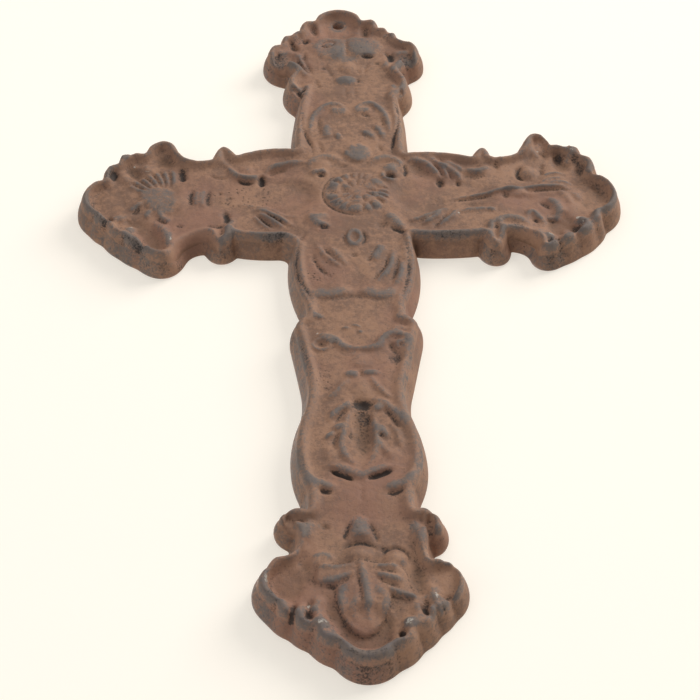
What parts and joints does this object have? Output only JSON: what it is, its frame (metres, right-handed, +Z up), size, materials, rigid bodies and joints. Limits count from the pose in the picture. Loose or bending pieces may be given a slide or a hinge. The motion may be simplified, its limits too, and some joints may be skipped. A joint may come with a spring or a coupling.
{
  "type": "cast iron wall cross",
  "caption": "Cast iron cross with lobed scrollwork ends and carved leaves, made to hang on a wall by the nail hole near its top.",
  "frame": {"origin": "the middle of the nail hole, on the back plane that rests against the wall", "axes": "+Z points up the upright as the cross hangs and is its longest way, the carved front faces -Y and the back faces +Y, +X is to the right seen from the front"},
  "size_m": [0.2185, 0.012, 0.346],
  "materials": {
    "iron": "rough as cast, brown rust with dark worn ridges"
  },
  "bodies": {
    "root": {"cross": "iron"}
  },
  "joints": []
}
